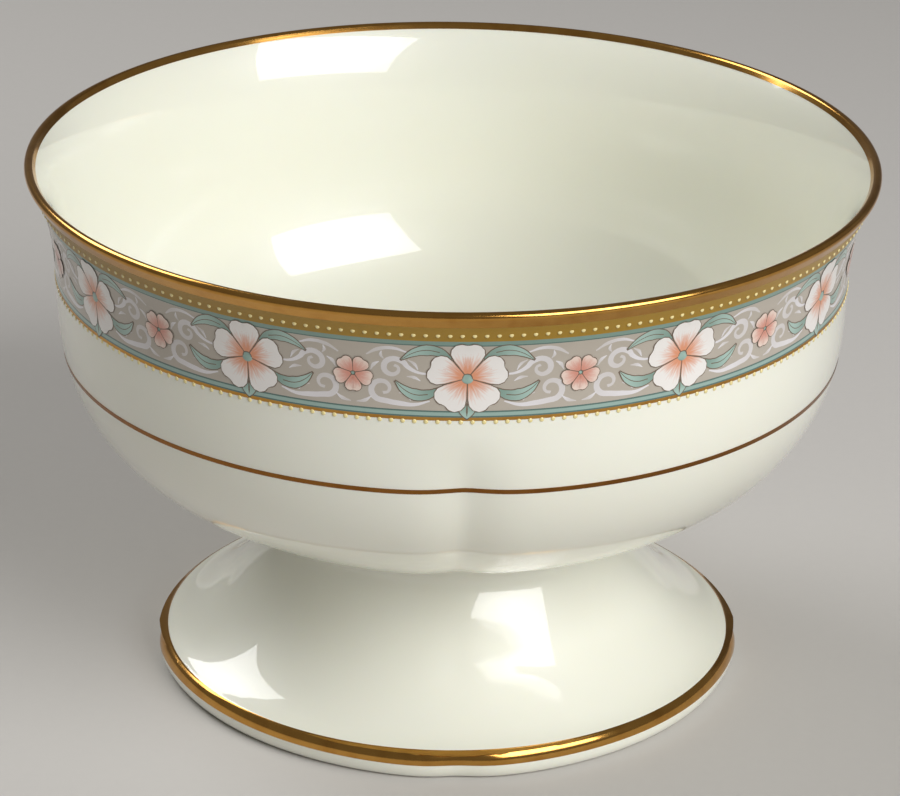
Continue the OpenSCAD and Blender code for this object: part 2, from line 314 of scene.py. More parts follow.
def cubic(a, leave, arrive, b):
    """A cubic from a to b, whose handles stand off from its ends by two vectors."""
    return [a, a + leave, b + arrive, b]


def straight(a, b):
    return [a, a.lerp(b, 1 / 3), a.lerp(b, 2 / 3), b]


def arc(centre, radius, start, end):
    """An arc of a quarter turn or less, as a cubic."""
    reach = 4 / 3 * math.tan((end - start) / 4) * radius
    a = centre + radius * toward(start)
    b = centre + radius * toward(end)
    return cubic(a, reach * toward(start + math.pi / 2), -reach * toward(end + math.pi / 2), b)


def cubic_at(p, t):
    return (1 - t) ** 3 * p[0] + 3 * (1 - t) ** 2 * t * p[1] + 3 * (1 - t) * t * t * p[2] + t ** 3 * p[3]


def ease(x):
    x = min(max(x, 0), 1)
    return x * x * (3 - 2 * x)


def wall_curves(start, belly, seat, reach):
    """A wall as two cubics: from under the lip down to the belly, and from there to the seat."""
    s = settings().bowl
    under_lip, over_belly, under_belly, at_seat = reach
    upper = cubic(start, -under_lip * s.belly_drop * toward(s.lip_slope), up(over_belly * s.belly_drop), belly)
    lower = cubic(belly, up(-under_belly * (belly.y - seat.y)),
                  at_seat * (belly.x - seat.x) * toward(SEAT_SLOPE), seat)
    return upper, lower


def lip_arc():
    """Middle and radius of the rounded lip, and the angle at which the outer wall leaves it."""
    s = settings().bowl
    radius = s.lip_thickness / 2
    return flat_point(s.lip_radius - radius, s.lip_height - radius), radius, s.lip_slope - math.pi / 2


def outer_wall():
    s = settings().bowl
    centre, radius, lean = lip_arc()
    return wall_curves(centre + radius * toward(lean), flat_point(s.belly_radius, s.lip_height - s.belly_drop),
                       flat_point(s.seat_radius, s.seat_height), OUTER_REACH)


def wall_radius(height):
    """Outer radius of the round wall at a height between the lip and the belly, found by halving."""
    upper = outer_wall()[0]
    low, high = 0.0, 1.0
    for _ in range(HALVINGS):
        middle = (low + high) / 2
        if cubic_at(upper, middle).y > height:
            low = middle
        else:
            high = middle
    return cubic_at(upper, low).x


def deselect_all():
    for other in list(bpy.context.selected_objects):
        other.select_set(False)


def pick(*pieces):
    """Selects these pieces alone, and makes the first of them active."""
    deselect_all()
    for piece in pieces:
        piece.select_set(True)
    bpy.context.view_layer.objects.active = pieces[0]


def edit(piece):
    """Goes into edit mode on one piece with all of it selected."""
    pick(piece)
    bpy.ops.object.mode_set(mode="EDIT")
    bpy.ops.mesh.select_all(action="SELECT")


def leave_edit():
    bpy.ops.object.mode_set(mode="OBJECT")


def edit_only(piece, kind, wanted=None):
    """Goes into edit mode on one piece with only the wanted ones of its EDGEs or FACEs selected, or none."""
    edit(piece)
    bpy.ops.mesh.select_mode(type=kind)
    bpy.ops.mesh.select_all(action="DESELECT")
    if wanted:
        leave_edit()
        for part in piece.data.edges if kind == "EDGE" else piece.data.polygons:
            part.select = wanted(part)
        bpy.ops.object.mode_set(mode="EDIT")


def faces_axis(face):
    """True where a face looks toward the Z axis."""
    return face.normal.dot(Vector((face.center.x, face.center.y, 0))) < 0


def apply_modifier(piece, kind, name, **values):
    """Adds a modifier to a piece, sets it and applies it."""
    pick(piece)
    modifier = piece.modifiers.new(name, kind)
    for key, value in values.items():
        setattr(modifier, key, value)
    bpy.ops.object.modifier_apply(modifier=modifier.name)


def name_it(piece, name):
    piece.name = name
    piece.data.name = name


def spin_round(steps, angle, **more):
    bpy.ops.mesh.spin(steps=steps, angle=angle, center=(0, 0, 0), axis=(0, 0, 1), **more)


def repeat_round(count_round, turn):
    """In edit mode, turns what is selected about the Z axis and copies it round, so many times in all."""
    bpy.ops.transform.rotate(value=turn, orient_axis="Z", center_override=(0, 0, 0))
    spin_round(count_round - 1, TURN * (count_round - 1) / count_round, dupli=True)


def stood(point):
    """A profile's point, stood up over the X axis."""
    return point.x, 0, point.y


def turned(name, cubics, points):
    """A profile drawn with a Bezier curve and spun round the Z axis, as on a wheel."""
    deselect_all()
    bpy.ops.curve.primitive_bezier_curve_add()
    drawn = bpy.context.object
    drawn.data.resolution_u = points
    knots = drawn.data.splines[0].bezier_points
    knots.add(len(cubics) - 1)
    for i, knot in enumerate(knots):
        knot.handle_left_type = "FREE"
        knot.handle_right_type = "FREE"
        knot.co = stood(cubics[i][0] if i < len(cubics) else cubics[-1][3])
        knot.handle_right = stood(cubics[i][1]) if i < len(cubics) else knot.co
        knot.handle_left = stood(cubics[i - 1][2]) if i > 0 else knot.co
    bpy.ops.object.convert(target="MESH")
    piece = bpy.context.object
    name_it(piece, name)
    edit(piece)
    spin_round(SPIN_STEPS, TURN)
    bpy.ops.mesh.select_all(action="SELECT")
    bpy.ops.mesh.remove_doubles(threshold=WELD)
    bpy.ops.mesh.normals_make_consistent(inside=False)
    leave_edit()
    bpy.ops.object.shade_smooth()
    return piece


def is_outside(vertex):
    """True on the outer wall, where the surface faces out or down."""
    radial = Vector((vertex.co.x, vertex.co.y)).normalized()
    return vertex.normal.x * radial.x + vertex.normal.y * radial.y - vertex.normal.z > OUTER_LEAN


def press(piece, name, depth, share):
    """Presses the piece inward at each crease by depth times share(vertex, angle from the crease)."""
    for k in range(CREASES):
        group = piece.vertex_groups.new(name=f"{name}_{k}")
        for v in piece.data.vertices:
            angle = (math.atan2(v.co.y, v.co.x) - k * TURN / CREASES + math.pi) % TURN - math.pi
            if abs(angle) <= TURN / CREASES / 2:
                weight = share(v, abs(angle))
                if weight > LEAST_WEIGHT:
                    group.add([v.index], weight, "REPLACE")
        inward = -1 if k < CREASES / 2 else 1
        apply_modifier(piece, "DISPLACE", name, vertex_group=group.name, direction="XY"[k % 2],
                       strength=inward * depth, mid_level=0)
    piece.vertex_groups.clear()


def dip(angle, width):
    return math.exp(-(angle / width) ** CREASE_SHARPNESS)


def bowl_crease(v, angle):
    s = settings().bowl
    if not is_outside(v):
        return 0
    radius = math.hypot(v.co.x, v.co.y)
    fade = ease((s.lip_height - s.crease_top - v.co.z) / (s.crease_full - s.crease_top))
    run = ease((radius - s.seat_radius) / (CREASE_FADE * (s.belly_radius - s.seat_radius)))
    return fade * run * dip(angle, s.crease_width)


def foot_share(v):
    """How strongly the plan is shaped at a vertex: not at all at the neck, and fully at the foot's edge."""
    s = settings().foot
    if not is_outside(v) or v.co.z > s.neck_height:
        return 0
    along = (math.hypot(v.co.x, v.co.y) - s.neck_radius) / (s.flare_radius - s.neck_radius)
    return min(max(along, 0), 1) ** s.shape_growth


def foot_crease(v, angle):
    return foot_share(v) * dip(angle, settings().foot.crease_width)


def foot_swell(v, angle):
    corner = (1 - math.cos(TURN / CREASES / 2 - angle)) / (1 - math.cos(TURN / CREASES / 2))
    return foot_share(v) * corner


def cut_level(height, **cleared):
    """In edit mode, cuts the whole piece at a height."""
    bpy.ops.mesh.select_all(action="SELECT")
    bpy.ops.mesh.bisect(plane_co=(0, 0, height), plane_no=(0, 0, 1), **cleared)


def strip(source, name, low, high, lift, inside_low=math.inf):
    """A layer fired onto a piece between two heights: a copy of its skin, cut level, lifted and thickened. It comes
    down inside only as far as inside_low."""
    piece = source.copy()
    piece.data = source.data.copy()
    name_it(piece, name)
    piece.parent = None
    for key in list(piece.keys()):
        del piece[key]
    bpy.context.scene.collection.objects.link(piece)
    edit(piece)
    cut_level(low, clear_inner=True)
    cut_level(high, clear_outer=True)
    if inside_low < high:
        cut_level(inside_low)
    leave_edit()
    edit_only(piece, "FACE", lambda face: faces_axis(face) and face.center.z < inside_low)
    bpy.ops.mesh.delete(type="FACE")
    leave_edit()
    apply_modifier(piece, "DISPLACE", "lift", direction="NORMAL", strength=lift, mid_level=0)
    apply_modifier(piece, "SOLIDIFY", "thickness", thickness=lift, offset=-1)
    bpy.ops.object.shade_smooth_by_angle(angle=EDGE_ANGLE)
    return piece


def finish_piece(piece, slot, material, *replaced):
    """Gives a finished piece its material and ties it to the frame."""
    piece.data.materials.clear()
    piece.data.materials.append(material)
    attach(piece, "root")
    if replaced:
        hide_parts(*replaced)


# Materials

def add_node(tree, kind, inputs=None, **values):
    """Adds a node, sets its values, and fills its inputs with numbers or with links from (node, output)."""
    made = tree.nodes.new(kind)
    for key, value in values.items():
        setattr(made, key, value)
    for key, value in (inputs or {}).items():
        if isinstance(value, tuple) and isinstance(value[0], bpy.types.Node):
            tree.links.new(value[0].outputs[value[1]], made.inputs[key])
        else:
            made.inputs[key].default_value = value
    return made


def new_material(name, kind="ShaderNodeTexCoord", output="Object", **values):
    """An empty material, its node tree, and a link to the place that its textures follow."""
    material = bpy.data.materials.new(name)
    material.use_nodes = True
    tree = material.node_tree
    tree.nodes.clear()
    return material, tree, (add_node(tree, kind, **values), output)


def rgba(colour_value):
    return (*colour_value, 1)


def tinted(colour_value, shares):
    return tuple(c * share for c, share in zip(colour_value, shares))


def shaded(colour_value, share):
    return tinted(colour_value, (share,) * 3)


def mixed(tree, factor, a, b):
    """A colour between a and b, as a link. The node's factor is input 0, its colours are 6 and 7, out of 2."""
    return add_node(tree, "ShaderNodeMix", {0: factor, 6: a, 7: b}, data_type="RGBA", clamp_factor=True), 2


def noise(tree, place, size, detail):
    """Noise with patches of one size."""
    return add_node(tree, "ShaderNodeTexNoise", {"Vector": place, "Scale": 1 / size, "Detail": detail})


def bump(tree, source, strength, distance, **more):
    """The normal of a surface that a noise raises, as a link."""
    inputs = {"Height": (source, "Fac"), "Strength": strength, "Distance": distance}
    return add_node(tree, "ShaderNodeBump", {**inputs, **more}), "Normal"


def ranged(tree, value, source=(0.0, 1.0), result=(0.0, 1.0), **values):
    """A linked value, carried from one range over to another, as a link."""
    inputs = {"Value": value, "From Min": source[0], "From Max": source[1],
              "To Min": result[0], "To Max": result[1]}
    return add_node(tree, "ShaderNodeMapRange", inputs, **values), "Result"


def finish_material(tree, inputs):
    """Adds the shader and leads it to the output."""
    shader = add_node(tree, "ShaderNodeBsdfPrincipled", inputs)
    add_node(tree, "ShaderNodeOutputMaterial", {"Surface": (shader, "BSDF")})
    return shader


def glaze(name):
    """Feldspathic porcelain under a clear gloss glaze, dipped and fired: a faintly translucent body, a hard bright
    coat, and a very slight ripple left by the glaze as it flowed."""
    body = settings().colours.porcelain
    material, tree, place = new_material(name)
    # Slow drift of the body's tone, over about 30 mm
    drift = noise(tree, place, size=30 * MM, detail=2.0)
    # Ripple of the glaze, 9 mm from crest to crest, and fine orange peel, 0.8 mm
    ripple = bump(tree, noise(tree, place, size=9 * MM, detail=1.0), strength=0.12, distance=0.1 * MM)
    peel = bump(tree, noise(tree, place, size=0.8 * MM, detail=1.0), strength=0.06, distance=0.004 * MM,
                Normal=ripple)
    shader = finish_material(tree, {
        "Base Color": mixed(tree, (drift, "Fac"), rgba(body), rgba(tinted(body, WARM_TINT))),
        "Roughness": BODY_ROUGHNESS, "IOR": 1.5,
        "Subsurface Weight": 0.12, "Subsurface Radius": (1.0, 0.8, 0.5), "Subsurface Scale": 1.5 * MM,
        "Coat Weight": 1.0, "Coat Roughness": 0.03, "Coat IOR": 1.5, "Coat Normal": peel})
    return material, tree, place, shader


def pedestal_material(name):
    """The same glazed porcelain, with the glaze wiped off the flat ring that stands on the kiln shelf."""
    biscuit = settings().colours.biscuit
    material, tree, place, shader = glaze(name)
    axes = add_node(tree, "ShaderNodeSeparateXYZ", {"Vector": place})
    wiped = ranged(tree, (axes, "Z"), source=WIPED_HEIGHTS, result=(1.0, 0.0))
    # Grain of the bare clay, 0.3 mm
    grain = noise(tree, place, size=0.3 * MM, detail=3.0)
    bare = mixed(tree, (grain, "Fac"), rgba(biscuit), rgba(shaded(biscuit, 0.9)))
    glazed = shader.inputs["Base Color"].links[0].from_node, 2
    for name_of_input, (made, output) in (
            ("Base Color", mixed(tree, wiped, glazed, bare)),
            ("Roughness", ranged(tree, wiped, result=(BODY_ROUGHNESS, BARE_ROUGHNESS))),
            ("Coat Weight", ranged(tree, wiped, result=(1.0, 0.0)))):
        tree.links.new(made.outputs[output], shader.inputs[name_of_input])
    return material


def gold_material(name, gold, roughness):
    """Liquid bright gold, brushed on over the glaze while the bowl turned, fired and burnished: a thin metal film
    whose brush lines run round the bowl, browner where it is thin."""
    material, tree, place = new_material(name)
    # Brush lines 0.25 mm apart in height, and long round the bowl
    lines = add_node(tree, "ShaderNodeMapping", {"Vector": place, "Scale": (60.0, 60.0, 1 / (0.25 * MM))})
    brushed = noise(tree, (lines, "Vector"), size=1.0, detail=2.0)
    rough = ranged(tree, (brushed, "Fac"), result=[roughness * share for share in BRUSHED_SHARES])
    # Thin places 4 mm across
    thin = noise(tree, place, size=4 * MM, detail=3.0)
    worn = ranged(tree, (thin, "Fac"), source=(0.45, 0.75))
    finish_material(tree, {
        "Base Color": mixed(tree, worn, rgba(gold), rgba(tinted(gold, BROWN_TINT))), "Metallic": 1.0,
        "Roughness": rough, "Normal": bump(tree, brushed, strength=0.25, distance=0.006 * MM)})
    return material


def finish_enamel(tree, tone, gloss, **more):
    """Enamel that shows one tone under its share of the glaze's gloss."""
    finish_material(tree, {"Base Color": tone, "Roughness": 0.4, "IOR": 1.5, "Coat Weight": gloss,
                           "Coat Roughness": 0.06, "Coat IOR": 1.5, **more})


def enamel_material(name, enamel, share=0.9, mottle=1.2 * MM, gloss=ENAMEL_GLOSS, other=None):
    """Ceramic enamel, printed as a transfer and fired into the glaze: flat colour that mottles a little between the
    dots of the print, toward a darker share of itself or another colour, under most of the glaze's gloss."""
    material, tree, place = new_material(name)
    spots = noise(tree, place, size=mottle, detail=3.0)
    finish_enamel(tree, mixed(tree, (spots, "Fac"), rgba(enamel), rgba(other or shaded(enamel, share))), gloss,
                  Normal=bump(tree, spots, strength=0.1, distance=0.004 * MM))
    return material


def stroke_material(name, root, tip, streaks, full=0.75):
    """Ceramic enamel laid in strokes: the colour runs from the root of each stroke to its tip, in fine streaks, as
    the print's screen of tiny dots gives it. From full onwards it is all the tip's colour."""
    material, tree, place = new_material(name, "ShaderNodeUVMap", "UV", uv_map="UVMap")
    axes = add_node(tree, "ShaderNodeSeparateXYZ", {"Vector": place})
    # Streaks about a tenth of the stroke's width apart, and as long as a third of it
    drawn_out = add_node(tree, "ShaderNodeMapping", {"Vector": place, "Scale": (2.5, 9.0, 1.0)})
    streak = noise(tree, (drawn_out, "Vector"), size=1.0, detail=2.0)
    shift = add_node(tree, "ShaderNodeMath", {0: (streak, "Fac"), 1: 0.5}, operation="SUBTRACT")
    reach = add_node(tree, "ShaderNodeMath", {0: (shift, "Value"), 1: streaks, 2: (axes, "X")},
                     operation="MULTIPLY_ADD")
    along = ranged(tree, (reach, "Value"), source=(0.05, full), interpolation_type="SMOOTHSTEP")
    finish_enamel(tree, mixed(tree, along, rgba(root), rgba(tip)), ENAMEL_GLOSS)
    return material


# Camera and stage

def direction(azimuth, elevation):
    return Vector((math.cos(azimuth) * math.cos(elevation), math.sin(azimuth) * math.cos(elevation),
                   math.sin(elevation)))


class BOWL_OT_add_camera(bpy.types.Operator):
    """Adds the camera at the photograph's viewing angle"""
    bl_idname = "bowl.add_camera"
    bl_label = "Add camera"

    def execute(self, context):
        s = settings().view
        back = direction(s.azimuth, s.elevation)
        forward = -back
        right = forward.cross(Vector((0, 0, 1))).normalized()
        # The camera looks a little below the lip's middle, and leans a little
        aim = forward * math.cos(s.tilt) - right.cross(forward) * math.sin(s.tilt)
        level = right.cross(aim)
        across = right * math.cos(s.lean) + level * math.sin(s.lean)
        upright = level * math.cos(s.lean) - right * math.sin(s.lean)
        camera_data = bpy.data.cameras.new("camera")
        camera_data.lens = s.lens
        camera_data.clip_start = 10 * MM
        camera = bpy.data.objects.new("camera", camera_data)
        context.scene.collection.objects.link(camera)
        turn = Matrix((across, upright, -aim)).transposed().to_4x4()
        place = back * s.distance + Vector((0, 0, s.target_height))
        camera.matrix_world = Matrix.Translation(place) @ turn
        context.scene.camera = camera
        context.scene.view_settings.view_transform = "Standard"
        return {"FINISHED"}


def add_lamp(kind, target):
    """A soft box: an area lamp that faces the bowl from a little over a metre off."""
    s = settings().stage
    azimuth, elevation, width, height, power = (
        getattr(s, f"{kind}_{value}") for value in ("azimuth", "elevation", "width", "height", "power"))
    lamp_data = bpy.data.lights.new(f"{kind}_softbox", "AREA")
    lamp_data.shape = "RECTANGLE"
    lamp_data.size = width
    lamp_data.size_y = height
    lamp_data.energy = power
    lamp_data.spread = s.lamp_spread
    lamp = bpy.data.objects.new(lamp_data.name, lamp_data)
    bpy.context.scene.collection.objects.link(lamp)
    back = direction(azimuth, elevation)
    facing = back.to_track_quat("Z", "Y").to_matrix().to_4x4()
    lamp.matrix_world = Matrix.Translation(target + s.lamp_distance * back) @ facing


def paper_material(name):
    """Pale matt paper, with fibres about 2 mm long."""
    paper = settings().colours.paper
    material, tree, place = new_material(name)
    fibre = noise(tree, place, size=2 * MM, detail=4.0)
    finish_material(tree, {"Base Color": mixed(tree, (fibre, "Fac"), rgba(paper), rgba(shaded(paper, 0.97))),
                           "Roughness": 0.8})
    return material


class BOWL_OT_add_stage(bpy.types.Operator):
    """Adds the pale sweep, the soft boxes and the even light of the room"""
    bl_idname = "bowl.add_stage"
    bl_label = "Add stage"

    def execute(self, context):
        s = settings().stage
        deselect_all()
        bpy.ops.mesh.primitive_plane_add(size=s.sweep_width, location=(0, 0, -SWEEP_DROP))
        sweep = context.object
        sweep.name = "paper_sweep"

        def is_far(edge, highest):
            """True for an edge at the back, no higher than this."""
            ends = [sweep.data.vertices[i].co for i in edge.vertices]
            return all(p.y > s.sweep_width / 2 - MM and p.z < highest for p in ends)

        edit_only(sweep, "EDGE", lambda edge: is_far(edge, math.inf))
        bpy.ops.mesh.extrude_edges_move(TRANSFORM_OT_translate={"value": (0, 0, s.sweep_width / 2)})
        leave_edit()
        edit_only(sweep, "EDGE", lambda edge: is_far(edge, MM))
        bpy.ops.mesh.bevel(offset=SWEEP_BEND * s.sweep_width, segments=SWEEP_BEND_CUTS, affect="EDGES")
        leave_edit()
        bpy.ops.object.transform_apply(location=True, rotation=True, scale=True)
        bpy.ops.object.shade_smooth()
        sweep.data.materials.append(paper_material("paper_sweep"))
        target = Vector((0, 0, settings().bowl.lip_height / 2))
        add_lamp("key", target)
        add_lamp("back", target)
        world = bpy.data.worlds.new("studio")
        world.use_nodes = True
        context.scene.world = world
        tree = world.node_tree
        tree.nodes.clear()
        room = add_node(tree, "ShaderNodeBackground", {"Color": rgba(settings().colours.room), "Strength": s.room})
        add_node(tree, "ShaderNodeOutputWorld", {"Surface": (room, "Background")})
        return {"FINISHED"}


# The pieces

class BOWL_OT_add_bowl(bpy.types.Operator):
    """Adds the bowl: a spun wall with a rounded lip, creased outside and smooth inside"""
    bl_idname = "bowl.add_bowl"
    bl_label = "Add bowl"

    def execute(self, context):
        s = settings().bowl
        upper, lower = outer_wall()
        centre, lip, lean = lip_arc()
        belly = flat_point(s.belly_radius - s.wall, s.lip_height - s.belly_drop)
        edge = lower[3] + s.floor * toward(SEAT_SLOPE + math.pi / 2)
        inner_upper, inner_lower = wall_curves(centre + lip * toward(lean + math.pi), belly, edge, INNER_REACH)
        at_edge, at_middle = FLOOR_REACH
        floor = cubic(edge, -at_edge * edge.x * toward(SEAT_SLOPE), out(at_middle * edge.x),
                      up(s.seat_height + s.floor - s.floor_dish))
        crest = lean + math.pi / 2
        profile = [lower[::-1], upper[::-1], arc(centre, lip, lean, crest), arc(centre, lip, crest, lean + math.pi),
                   inner_upper, inner_lower, floor]
        piece = turned("porcelain_bowl", profile, s.curve_points)
        close_underside(piece, s.seat_height)
        press(piece, "crease", s.crease_depth, bowl_crease)
        finish_piece(piece, "glazed_porcelain", glaze("glazed_porcelain")[0], "bowl")
        return {"FINISHED"}


def close_underside(piece, height):
    """Draws the open edge at the seat inward and closes it with a flat face."""
    edit_only(piece, "EDGE")
    bpy.ops.mesh.select_non_manifold()
    for share in UNDERSIDE_STEPS:
        bpy.ops.mesh.extrude_edges_move(TRANSFORM_OT_translate={"value": (0, 0, 0)})
        bpy.ops.transform.resize(value=(share, share, 1), center_override=(0, 0, height))
    bpy.ops.mesh.edge_face_add()
    bpy.ops.mesh.select_all(action="SELECT")
    bpy.ops.mesh.normals_make_consistent(inside=False)
    leave_edit()
    bpy.ops.object.shade_smooth()


class BOWL_OT_add_pedestal(bpy.types.Operator):
    """Adds the pedestal and the slip that joins it to the bowl"""
    bl_idname = "bowl.add_pedestal"
    bl_label = "Add pedestal"

    def execute(self, context):
        s = settings().foot
        contact = out(s.contact_radius)
        widest = flat_point(s.edge_radius, s.edge_height)
        flare_start = flat_point(s.flare_radius, s.flare_height)
        neck = flat_point(s.neck_radius, s.neck_height)
        top = flat_point(s.top_radius, s.top)
        downhill = flat_point(1, -math.tan(s.flare_slope))
        at_edge, at_neck = FLARE_REACH
        edge_low = cubic(contact, out(EDGE_REACH * (widest.x - contact.x)), up(-EDGE_REACH * widest.y), widest)
        edge_high = cubic(widest, up(EDGE_REACH * (flare_start.y - widest.y)),
                          EDGE_REACH * (widest.x - flare_start.x) * downhill, flare_start)
        flare = cubic(flare_start, -at_edge * (flare_start.x - neck.x) * downhill,
                      up(-at_neck * (neck.y - flare_start.y)), neck)
        spread = cubic(neck, up(SPREAD_REACH * (top.y - neck.y)), out(-SPREAD_REACH * (top.x - neck.x)), top)
        bore = flat_point(s.neck_radius - s.wall, s.neck_height)
        bore_top = flat_point(bore.x, s.top)
        mouth = contact - out(s.contact_width)
        hollow = cubic(bore, up(-HOLLOW_REACH * bore.y), up(s.edge_height), mouth)
        profile = [straight(mouth, contact), edge_low, edge_high, flare, spread, straight(top, bore_top),
                   straight(bore_top, bore), hollow]
        piece = turned("porcelain_pedestal", profile, s.curve_points)
        press(piece, "swell", -s.swell, foot_swell)
        press(piece, "crease", s.crease_depth, foot_crease)
        finish_piece(piece, "glazed_porcelain_foot", pedestal_material("glazed_porcelain_foot"), "pedestal")
        seat = flat_point(bore.x, settings().bowl.seat_height)
        bulge = (seat.y - s.top) / 2
        middle = flat_point(s.top_radius, (seat.y + s.top) / 2)
        round_low, round_high = arc(middle, bulge, -math.pi / 2, 0), arc(middle, bulge, 0, math.pi / 2)
        slip = turned("slip_joint_ring", [straight(bore_top, round_low[0]), round_low, round_high,
                                          straight(round_high[3], seat), straight(seat, bore_top)],
                      SLIP_CURVE_POINTS)
        finish_piece(slip, "fired_slip", glaze("glazed_slip")[0], "slip_joint")
        return {"FINISHED"}


def band_heights():
    """The heights at which the fired layers begin and end, from the lip down."""
    s = settings().bands
    heights = {"lip": settings().bowl.lip_height}
    heights["gilding"] = heights["lip"] - s.gilding
    heights["beads"] = heights["gilding"] - s.bead_band
    heights["upper"] = heights["beads"] - s.upper_line
    heights["frieze"] = heights["upper"] - s.frieze
    heights["lower"] = heights["frieze"] - s.lower_line
    heights["gold"] = heights["lower"] - s.lower_gold
    heights["waist"] = heights["lip"] - s.waist_drop
    return heights


class BOWL_OT_add_gilding(bpy.types.Operator):
    """Adds the gilding of the lip, the foot's edge and the waist line"""
    bl_idname = "bowl.add_gilding"
    bl_label = "Add gilding"

    def execute(self, context):
        s = settings().bands
        foot = settings().foot
        c = settings().colours
        h = band_heights()
        bowl = bpy.data.objects["porcelain_bowl"]
        burnished = gold_material("burnished_gold", c.gold, BURNISHED_ROUGHNESS)
        rim = strip(bowl, "rim_gilding_skin", h["gilding"], h["lip"] + MM, s.gold, h["lip"] - s.gilding_inside)
        finish_piece(rim, "burnished_gold", burnished, "rim_gilding")
        edge = strip(bpy.data.objects["porcelain_pedestal"], "foot_gilding_skin", foot.edge_height,
                     foot.gilded_height, s.gold)
        finish_piece(edge, "burnished_gold", burnished, "foot_gilding")
        half = s.waist_line / 2
        waist = strip(bowl, "waist_gold_line", h["waist"] - half, h["waist"] + half, s.gold)
        drawn = gold_material("drawn_gold", c.line_gold, DRAWN_ROUGHNESS)
        finish_piece(waist, "line_gold", drawn, "waist_line")
        return {"FINISHED"}


def dots(name, height, size, number_round, rise, sides, turn=0.0):
    """A row of round dots of enamel: one flattened ball on the wall, copied round the bowl."""
    deselect_all()
    bpy.ops.mesh.primitive_uv_sphere_add(segments=sides, ring_count=sides // 2 + 1, radius=size / 2)
    piece = bpy.context.object
    name_it(piece, name)
    edit(piece)
    bpy.ops.transform.resize(value=(rise, 1, 1))
    bpy.ops.transform.translate(value=(wall_radius(height) + settings().bands.enamel, 0, height))
    repeat_round(number_round, turn)
    leave_edit()
    bpy.ops.object.shade_smooth()
    return piece


class BOWL_OT_add_bands(bpy.types.Operator):
    """Adds the printed bands and the rows of beads"""
    bl_idname = "bowl.add_bands"
    bl_label = "Add bands"

    def execute(self, context):
        s = settings().bands
        c = settings().colours
        h = band_heights()
        bowl = bpy.data.objects["porcelain_bowl"]
        ochre = enamel_material("ochre_enamel", c.ochre, 0.86, gloss=OCHRE_GLOSS)
        teal = enamel_material("teal_enamel", c.teal)
        dark = enamel_material("dark_teal_enamel", c.teal_dark)
        aqua = enamel_material("aqua_enamel", c.aqua, 0.94)
        ground = enamel_material("greige_enamel", c.ground, 0.93, mottle=3 * MM)
        cream = enamel_material("cream_enamel", c.bead, 0.92)
        drawn = gold_material("printed_gold", c.gold, PRINTED_ROUGHNESS)
        above, below, end = h["upper"] + s.fine_line, h["frieze"] - s.fine_line, h["lower"] + s.fine_line
        for name, low, high, slot, material, *node in (
                ("ochre_band", h["beads"], h["gilding"], "ochre_print", ochre, "bead_band"),
                ("teal_line", above, h["beads"], "teal_print", teal, "upper_line"),
                ("teal_line_shade", h["upper"], above, "teal_print", dark),
                ("frieze_ground_skin", h["frieze"], h["upper"], "greige_print", ground, "frieze_ground"),
                ("lower_line_shade", below, h["frieze"], "teal_print", dark),
                ("lower_aqua_line", end, below, "teal_print", aqua, "lower_line"),
                ("lower_line_edge", h["lower"], end, "teal_print", dark),
                ("lower_gold_skin", h["gold"], h["lower"], "gold_print", drawn, "lower_gold_line")):
            finish_piece(strip(bowl, name, low, high, s.enamel), slot, material, *node)
        for name, height in (("upper_beads", h["beads"] + UPPER_BEADS_SHARE * s.bead_band),
                             ("lower_beads", h["gold"] - LOWER_BEADS_SHARE * s.bead)):
            finish_piece(dots(name, height, s.bead, s.beads, s.bead_rise, BEAD_SIDES), "cream_print", cream)
        return {"FINISHED"}


# The frieze's drawing. Places and half widths are in half heights of the frieze, measured from a flower's middle:
# x round the bowl, z up. Each stroke is its colour, its points and its half width at each point.

def polar(degrees, radius):
    angle = math.radians(degrees)
    return radius * math.cos(angle), radius * math.sin(angle)


def volute(x, z, radius, start, turns, points=7, shrink=0.3):
    """Points of a spiral that winds inward round (x, z), from a start angle in degrees."""
    spiral = []
    for i in range(points):
        share = i / (points - 1)
        dx, dz = polar(start + 360 * turns * share, radius * (1 - (1 - shrink) * share))
        spiral.append((x + dx, z + dz))
    return spiral


def petal_lobe(axis, side, scale=1.0, spread=11):
    """Half a petal: two of these, side by side, make its notched tip."""
    radii = (0.14, 0.36, 0.6, 0.79, 0.94, 1.04, 1.08)
    widths = (0.05, 0.15, 0.26, 0.315, 0.28, 0.17, 0.02)
    # The lobe leans 2 degrees back toward the axis at its tip
    points = [polar(axis + side * (spread - 2 * i / (len(radii) - 1)), r * scale) for i, r in enumerate(radii)]
    return points, [w * scale for w in widths]


def grown(points, widths, by):
    """The same stroke, wider all round, to show as an outline under it."""
    first, second, before, last = Vector(points[0]), Vector(points[1]), Vector(points[-2]), Vector(points[-1])
    start = first - by * (second - first).normalized()
    end = last + by * (last - before).normalized()
    return [start[:], *points[1:-1], end[:]], [w + by for w in widths]


def outlined(colour_name, strokes, line):
    """Strokes of one colour with an outline round all of them together."""
    under = [("outline", *grown(points, widths, line)) for points, widths in strokes]
    return under + [(colour_name, points, widths) for points, widths in strokes]


